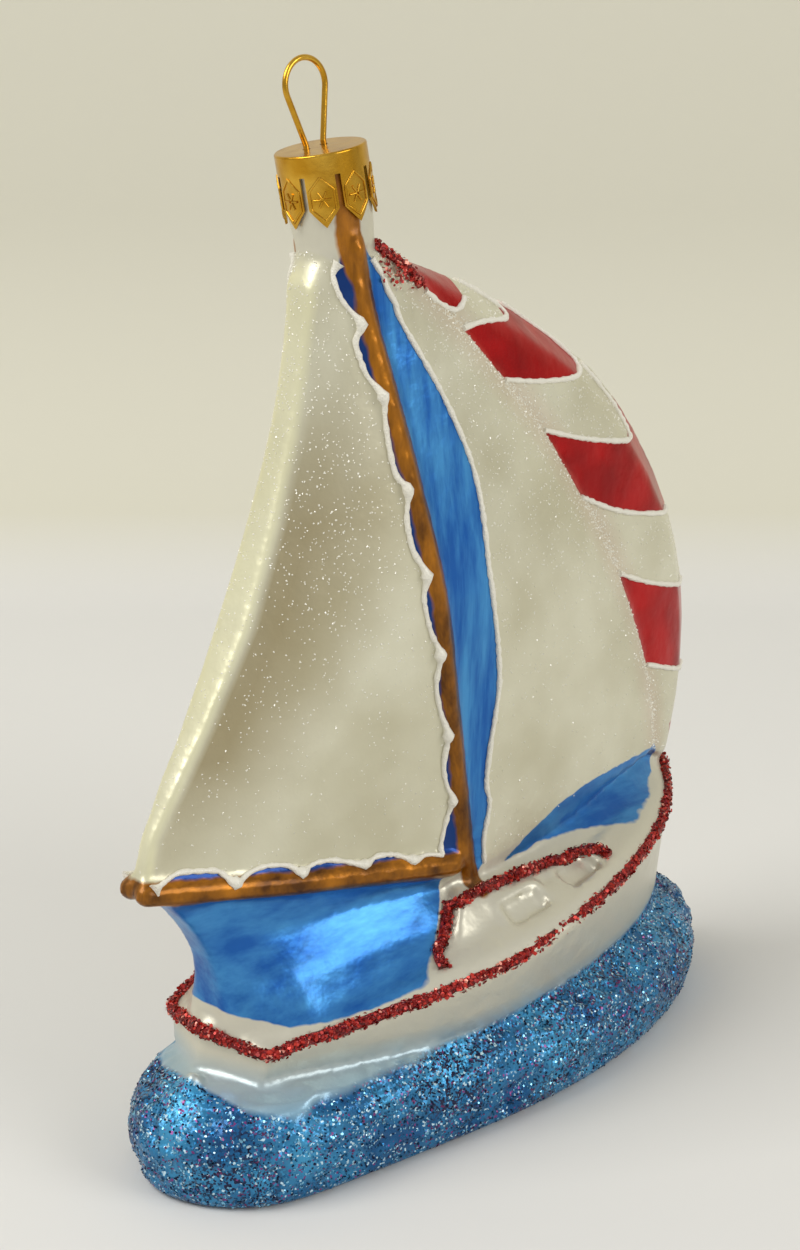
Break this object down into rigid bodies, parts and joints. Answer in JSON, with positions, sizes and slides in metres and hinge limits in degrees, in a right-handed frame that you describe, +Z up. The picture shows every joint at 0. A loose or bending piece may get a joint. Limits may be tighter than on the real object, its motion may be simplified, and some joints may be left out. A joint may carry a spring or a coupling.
{
  "type": "blown glass sailboat ornament",
  "caption": "Blown glass sailing boat on a wave, with full sails, a cabin, a capped neck at the masthead and a wire loop to hang it by.",
  "frame": {"origin": "middle of the underside of the wave that the boat stands on", "axes": "+X to the bow, +Y to port, +Z up to the hanging loop"},
  "size_m": [0.1234, 0.0502, 0.162],
  "materials": {
    "lacquered_glass": "silvered inside, lacquered and glittered outside",
    "gilt_cap": "bright stamped",
    "hanger_wire": "bright drawn"
  },
  "bodies": {
    "root": {"glass_body": "lacquered_glass", "cap": "gilt_cap", "hanger": "hanger_wire"}
  },
  "joints": []
}
